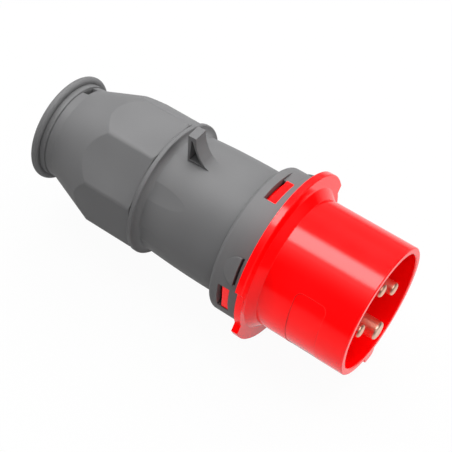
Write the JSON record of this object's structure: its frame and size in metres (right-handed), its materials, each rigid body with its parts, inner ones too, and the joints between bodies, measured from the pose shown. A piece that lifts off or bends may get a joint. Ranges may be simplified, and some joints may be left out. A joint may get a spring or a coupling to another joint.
{
  "type": "industrial pin and sleeve plug",
  "caption": "Industrial pin and sleeve power plug: keyed red shroud round the contacts, grey housing with lid catch and latch windows, octagonal screw-on cable gland.",
  "frame": {"origin": "middle of the shroud's mouth, on the plug's axis, where the mating connector is entered", "axes": "+X along the axis towards the mating connector, +Z towards twelve o'clock, so the key and the earth pin are at -Z"},
  "size_m": [0.1405, 0.062, 0.0688],
  "materials": {
    "red_plastic": "gloss",
    "grey_plastic": "satin",
    "pale_plastic": "satin",
    "contact_brass": "turned",
    "screw_steel": "zinc plated",
    "black_rubber": "matte"
  },
  "bodies": {
    "plug_body": {"shroud_insert": "red_plastic", "pin_l1": "contact_brass", "pin_l2": "contact_brass", "pin_l3": "contact_brass", "pin_earth": "contact_brass", "terminal_screw_l1": "screw_steel", "terminal_screw_l2": "screw_steel", "terminal_screw_l3": "screw_steel", "terminal_screw_earth": "screw_steel", "wire_plate_l1": "screw_steel", "wire_plate_l2": "screw_steel", "wire_plate_l3": "screw_steel", "wire_plate_earth": "screw_steel", "terminal_block": "pale_plastic", "retainer_plate": "pale_plastic", "retainer_screw": "screw_steel", "insert_seal": "black_rubber", "housing": "grey_plastic", "cap_seal": "black_rubber", "claw_cage": "pale_plastic", "cable_grommet": "black_rubber"},
    "thrust_carriage": {"thrust_ring": "pale_plastic"},
    "screw_cap": {"gland_cap": "grey_plastic"}
  },
  "joints": [
    {"name": "cap_travel", "type": "slide", "parent": "plug_body", "child": "thrust_carriage", "axis": [-1, 0, 0], "range_m": [0, 0.012]},
    {"name": "cap_turn", "type": "hinge", "parent": "thrust_carriage", "child": "screw_cap", "pos_m": [-0.11, 0, 0], "axis": [-1, 0, 0], "range_deg": [0, 1440]}
  ],
  "couplings": [
    {"joint": "cap_travel", "follows": "cap_turn", "m_per_rad": 0.00047746}
  ]
}
